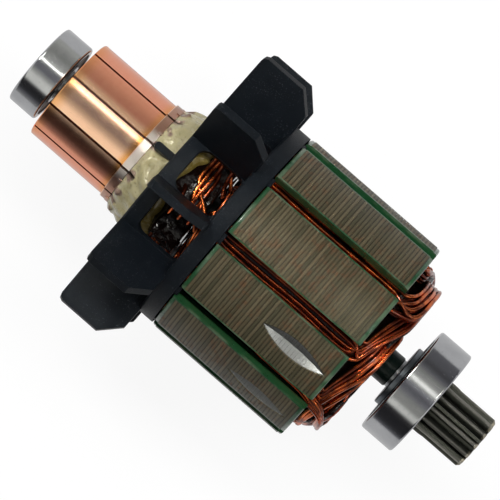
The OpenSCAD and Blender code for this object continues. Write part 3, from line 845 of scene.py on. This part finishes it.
def resin_radius(x, angle):
    """The outline there, with lumps, the tangs' blunt ends and the slits."""
    for (x0, r0), (x1, r1) in zip(RESIN_PROFILE, RESIN_PROFILE[1:]):
        if x <= x1:
            break
    radius = r0 + (r1 - r0) * min(1.0, max(0.0, (x - x0) / (x1 - x0)))
    edge = min(1.0, (x - RESIN_FRONT) / 0.6)
    radius += lumps(x, angle, 0.6, 6) * 0.5 * edge + knob(x, angle)
    return radius + (SLIT_FLOOR - radius) * slit(x, angle)


def resin_edge(angle):
    for (a0, shift0), (a1, shift1) in zip(CREEP, CREEP[1:]):
        if angle <= a1:
            break
    return shift0 + (shift1 - shift0) * ease(angle, a0, a1)


THIN_SHADED_START = -50.4

material, shade = new_finish("cream_resin")
where, x = along(shade)[:2]
# Towards the fan the resin is painted darker olive amber: thin glassy resin and painted shade under the fan.
thin_and_shaded = step(shade, x, THIN_SHADED_START, THIN_SHADED_START + 1.8)
swirl = cloud(shade, where, 0.5, 3.0)
bubbles = step(shade, cloud(shade, where, 2.2, 1.0), 0.64, 0.72)
metal = shade.node("ShaderNodeAttribute", {"attribute_name": "tang_metal"}, output="Fac")
# The slits running into the resin are painted near black and matt: painted shade in the grooves.
slit_shade = shade.node("ShaderNodeAttribute", {"attribute_name": "slit"}, output="Fac")
cream = blend(shade, swirl, tint(138, 131, 92), tint(182, 172, 134))
amber_and_shade = blend(shade, swirl, tint(84, 72, 32), tint(124, 108, 54))
cream = blend(shade, thin_and_shaded, cream, amber_and_shade)
cream = blend(shade, bubbles * 0.3, cream, tint(112, 100, 62))
burnt = blend(shade, cloud(shade, where, 2.4, 3.0), tint(84, 68, 56), tint(168, 140, 124))
cream = blend(shade, metal, cream, burnt)
cream = blend(shade, slit_shade, cream, tint(26, 12, 8))
cream_resin = close(material, shade, swirl - bubbles * 0.4, 0.2, Base_Color=cream, Metallic=metal * 0.5,
                    Roughness=swirl * 0.15 + 0.2 + slit_shade * 0.4, Coat_Weight=0.4 - slit_shade * 0.4,
                    Coat_Roughness=0.08, Subsurface_Weight=0.15, Subsurface_Radius=(1.0, 0.8, 0.4),
                    Subsurface_Scale=0.001)

stations = [RESIN_FRONT + (RESIN_BACK - RESIN_FRONT) * i / 50 for i in range(51)]
mesh = ring_skin("resin_lumps", stations, resin_radius, RESIN_BORE, 480, cream_resin, resin_edge)
tang_metal = mesh.attributes.new("tang_metal", "FLOAT", "POINT")
# The slit attribute marks where that painted shade goes.
slit_shade_marks = mesh.attributes.new("slit", "FLOAT", "POINT")
for i, vertex in enumerate(mesh.vertices):
    x, y, z = vertex.co * MM
    angle = math.degrees(math.atan2(y, -z)) % 360
    outer = 1.0 if math.hypot(y, z) > RESIN_BORE + 0.65 else 0.0
    on_knob = ease(knob(x, angle) + knob(x, angle - 360), 0.12, 0.4)
    ragged = noise.noise(Vector((x * 0.9, y * 0.9, z * 0.9)))
    beside = 1 - ease(from_slit(angle), 3.0 + 3 * ragged, 6.0 + 3 * ragged)
    beside *= 1 - ease(x, -53.9, -53.3 + ragged * 0.6)
    tang_metal.data[i].value = outer * max(on_knob, beside)
    slit_shade_marks.data[i].value = outer * slit(x, angle)
settle_mesh("resin_lumps", mesh, ["lead_resin"])


# ---- Fan ----
# The fan is one moulding in black, glass-filled nylon: a windowed hub with ten straight blades.
# It is pushed on from the commutator's end. It looks matt and faintly grained, with grey dust here and there.

material, shade = new_finish("black_nylon")
where = along(shade)[0]
grain = cloud(shade, where, 7.0, 4.0, 0.7)
dust = step(shade, cloud(shade, where, 4.5, 3.0, 0.6), 0.6, 0.7)
dust = dust * step(shade, cloud(shade, where, 0.3, 2.0), 0.4, 0.6)
flow = cloud(shade, where, 0.4, 3.0)
black = blend(shade, flow, tint(7, 11, 15), tint(15, 19, 24))
black = blend(shade, dust * 0.22, black, tint(128, 132, 138))
black_nylon = close(material, shade, grain, 0.03, 0.22, Base_Color=black,
                    Roughness=grain * 0.18 + 0.36 + dust * 0.2, Specular_IOR_Level=0.14)
finish_node("fan", black_nylon)


# ---- Spacer and pinion ----
# A turned washer keeps the bearing off the coated shaft. The pinion is hobbed, hardened and blackened,
# and its teeth are worn bright at their tips and at the chamfer on their ends.

spacer_steel = turned_steel("spacer_steel", tint(128, 134, 140), tint(88, 92, 98), rough=(0.26, 0.42),
                            marks_depth=0.006, marks_scale=10.0, edge=0.08)
finish_node("spacer_disc", spacer_steel)

TOOTH_TIP = 4.58
PINION_END = 12.0

material, shade = new_finish("pinion_steel")
where, x, radius = along(shade)
scale = cloud(shade, where, 1.4, 5.0, 0.65)
worn = step(shade, radius, TOOTH_TIP - 0.28, TOOTH_TIP)
chamfer = step(shade, x, PINION_END - 0.25, PINION_END) * step(shade, radius, 3.3, 3.9)
dark = blend(shade, scale, tint(52, 53, 48), tint(84, 85, 78))
steel = blend(shade, worn * 0.75, dark, tint(150, 148, 140))
steel = blend(shade, chamfer * 0.7, steel, tint(176, 168, 150))
pinion_steel = close(material, shade, scale, 0.03, 0.07, Base_Color=steel, Metallic=0.95,
                     Roughness=scale * 0.2 + 0.26)
finish_node("pinion", pinion_steel)


# ---- Ball bearings ----
# Both are plain shielded ball bearings: ground rings, lapped balls, a cage and two pressed shields.
# The rings are bright and nearly black in places, as polished steel is, and the shields are a duller grey.

ring_steel = turned_steel("bearing_steel", tint(196, 197, 199), tint(160, 161, 164), rough=(0.1, 0.2),
                          marks_depth=0.0025, marks_scale=16.0, edge=0.1)
ball_steel = turned_steel("ball_steel", tint(206, 208, 210), tint(186, 188, 190), rough=(0.05, 0.1),
                          marks_depth=0.0005)
cage_steel = turned_steel("cage_steel", tint(168, 168, 170), tint(128, 128, 130), rough=(0.28, 0.4),
                          marks_depth=0.003)
shield_steel = turned_steel("shield_steel", tint(126, 127, 130), tint(92, 93, 96), rough=(0.3, 0.46),
                            marks_depth=0.005, marks_scale=4.0, edge=0.05)
for bearing in ("pinion_bearing", "commutator_bearing"):
    finish_node(f"{bearing}_inner_ring", ring_steel)
    finish_node(f"{bearing}_outer_ring", ring_steel)
    finish_node(f"{bearing}_balls", ball_steel)
    finish_node(f"{bearing}_cage", cage_steel)
    finish_node(f"{bearing}_inboard_shield", shield_steel)
    finish_node(f"{bearing}_outboard_shield", shield_steel)


# ---- Studio ----
# The armature hangs just over a white table, under a soft sky and one long soft box beside the camera.
# A cloth tent stands round it, out of sight, and its pale, grey and dark panels are what bare metal mirrors.

CAMERA_TURN = 5
camera_way = Vector((0.0, math.sin(math.radians(CAMERA_TURN)), math.cos(math.radians(CAMERA_TURN))))
side_way = Vector((0.0, camera_way.z, -camera_way.y))
along_way = Vector((1.0, 0.0, 0.0))
MIDDLE = Vector((-0.0334, 0.0, 0.0))


def aimed(place, target, right):
    """The matrix of a lamp or camera there that looks at the target, with its X nearest that way."""
    back = (place - target).normalized()
    right = (right - back * right.dot(back)).normalized()
    return Matrix.Translation(place) @ Matrix((right, back.cross(right), back)).transposed().to_4x4()


def tent_light(shade, share, greys):
    """Light round the tent, as angles from the camera's side towards +Y and greys. The bright ones are
    a little warm and the dark ones a little cold."""
    stops = []
    for angle, grey in greys:
        blue = grey * (0.93 if grey > 0.3 else 1.1)
        stops.append(((angle + 180) / 360, (grey, grey, blue, 1.0)))
    return shade.node("ShaderNodeValToRGB", {"stops": stops}, {"Fac": share})


def panel(shade, value, low, high, soft):
    """1 where value is between low and high, with soft edges."""
    return step(shade, value, low, low + soft) * (1 - step(shade, value, high - soft, high))


TENT_RADIUS = 0.46
TENT_ENDS = (-0.9, 0.85)
PANEL_GLOW = 30
COMMUTATOR_GREYS = ((-150, 0.85), (-125, 0.6), (-106, 0.45), (-88, 0.16), (-78, 0.04), (-60, 0.02),
                    (-53, 0.05), (-46, 0.95), (-30, 0.95), (-20, 0.5), (-9, 0.2), (4, 0.18), (12.6, 0.4),
                    (13.6, 6.0), (15.4, 6.0), (16.4, 0.55), (34, 0.46), (48, 0.33), (62, 0.4), (78, 0.54),
                    (95, 0.56), (140, 0.56))
PINION_GREYS = ((-150, 0.85), (-125, 0.6), (-106, 0.3), (-92, 0.06), (-84, 0.03), (-60, 0.02), (-52, 0.03),
                (-48, 0.95), (-40, 0.95), (-34, 0.36), (-22, 0.38), (-12, 0.22), (-3, 0.12), (4, 0.3),
                (12, 0.45), (14, 1.8), (19, 1.8), (22, 0.45), (34, 0.36), (44, 0.16), (54, 0.06), (66, 0.12),
                (100, 0.15), (140, 0.6))

corners = []
for x in TENT_ENDS:
    for angle in range(-100, 101, 5):
        turn = math.radians(angle)
        corners.append((x, TENT_RADIUS * math.sin(turn), TENT_RADIUS * math.cos(turn)))
count = len(corners) // 2
tent_mesh = bpy.data.meshes.new("tent")
tent_mesh.from_pydata(corners, [], [(i, i + 1, count + i + 1, count + i) for i in range(count - 1)])
material, shade = new_finish("tent_cloth")
where = shade.node("ShaderNodeTexCoord", output="Object")
tent_x = shade.node("ShaderNodeSeparateXYZ", {}, {0: where})
turn = shade.maths("ARCTAN2", tent_x.other("Y"), tent_x.other("Z"))
turn = turn * (0.5 / math.pi) + (0.5 - CAMERA_TURN / 360)
commutator_side = tent_light(shade, turn, COMMUTATOR_GREYS)
pinion_side = tent_light(shade, turn, PINION_GREYS)
cloth = blend(shade, step(shade, tent_x, -0.07, 0.0), commutator_side, pinion_side)
panels = panel(shade, tent_x, 0.14, 0.23, 0.01) * 0.3 + panel(shade, tent_x, -0.32, -0.23, 0.01)
panels = panels * panel(shade, turn, 0.53, 0.588, 0.003)
glow = shade.node("ShaderNodeEmission", {}, {"Color": cloth, "Strength": panels * PANEL_GLOW + 1})
shade.node("ShaderNodeOutputMaterial", {}, {"Surface": glow})
tent_mesh.materials.append(material)
tent = bpy.data.objects.new("tent", tent_mesh)
bpy.context.scene.collection.objects.link(tent)
tent.visible_camera = False
tent.visible_diffuse = False
tent.visible_shadow = False
tent.visible_transmission = False

BOX_TURN = math.radians(16)
BOX_DISTANCE = 0.55

lamp = bpy.data.lights.new("long_box", "AREA")
lamp.shape = "RECTANGLE"
lamp.size = 0.6
lamp.size_y = 0.09
lamp.energy = 3.6
soft_box = bpy.data.objects.new("long_box", lamp)
bpy.context.scene.collection.objects.link(soft_box)
box_way = camera_way * math.cos(BOX_TURN) + side_way * math.sin(BOX_TURN)
soft_box.matrix_world = aimed(MIDDLE + box_way * BOX_DISTANCE, MIDDLE, along_way)
soft_box.visible_glossy = False

WHITE = (1, 1, 1, 1)
SKY = (0.46, 0.46, 0.46, 1)


def seen_rays(shade):
    """1 for what the camera sees, straight or in metal or glass, and 1 for what is seen in metal."""
    direct = shade.node("ShaderNodeLightPath")
    mirrored = direct.other("Is Glossy Ray")
    seen = shade.maths("MAXIMUM", direct, mirrored)
    return shade.maths("MAXIMUM", seen, direct.other("Is Transmission Ray")), mirrored


world = bpy.data.worlds.new("studio_air")
world.use_nodes = True
world.node_tree.nodes.clear()
bpy.context.scene.world = world
air = Shade(world.node_tree)
seen = seen_rays(air)[0]
light = air.node("ShaderNodeBackground", {}, {"Color": blend(air, seen, SKY, WHITE), "Strength": 1.0})
air.node("ShaderNodeOutputWorld", {}, {"Surface": light})

TABLE_GAP = 0.012
table_z = cad_box[0][2] - TABLE_GAP
table_mesh = bpy.data.meshes.new("table")
table_mesh.from_pydata([(x, y, table_z) for x, y in ((-4, -4), (4, -4), (4, 4), (-4, 4))], [], [(0, 1, 2, 3)])
material, shade = new_finish("table_paper")
where = shade.node("ShaderNodeTexCoord", output="Object")
fibre = cloud(shade, where, 900.0, 2.0)
pulp = blend(shade, fibre * 0.1, (0.86, 0.86, 0.86, 1), (0.8, 0.8, 0.8, 1))
paper = shade.node("ShaderNodeBsdfDiffuse", {}, {"Color": pulp})
seen, mirrored = seen_rays(shade)
white = shade.node("ShaderNodeEmission", {}, {"Color": WHITE, "Strength": 1 - mirrored * 0.38})
sheet = shade.node("ShaderNodeMixShader", {}, {0: seen * 0.9, 1: paper, 2: white})
shade.node("ShaderNodeOutputMaterial", {}, {"Surface": sheet})
table_mesh.materials.append(material)
table = bpy.data.objects.new("table", table_mesh)
bpy.context.scene.collection.objects.link(table)

CAMERA_DISTANCE = 0.597
CAMERA_X = -0.0194
CAMERA_ROLL = math.radians(41.0)

lens = bpy.data.cameras.new("camera")
lens.lens = 281.0
lens.sensor_width = 36.0
lens.clip_start = 0.05
camera = bpy.data.objects.new("camera", lens)
bpy.context.scene.collection.objects.link(camera)
stand = along_way * CAMERA_X + camera_way * CAMERA_DISTANCE
right = along_way * math.cos(CAMERA_ROLL) + side_way * math.sin(CAMERA_ROLL)
camera.matrix_world = aimed(stand, MIDDLE - side_way * 0.00038, right)
bpy.context.scene.camera = camera
bpy.context.scene.view_settings.view_transform = "Standard"
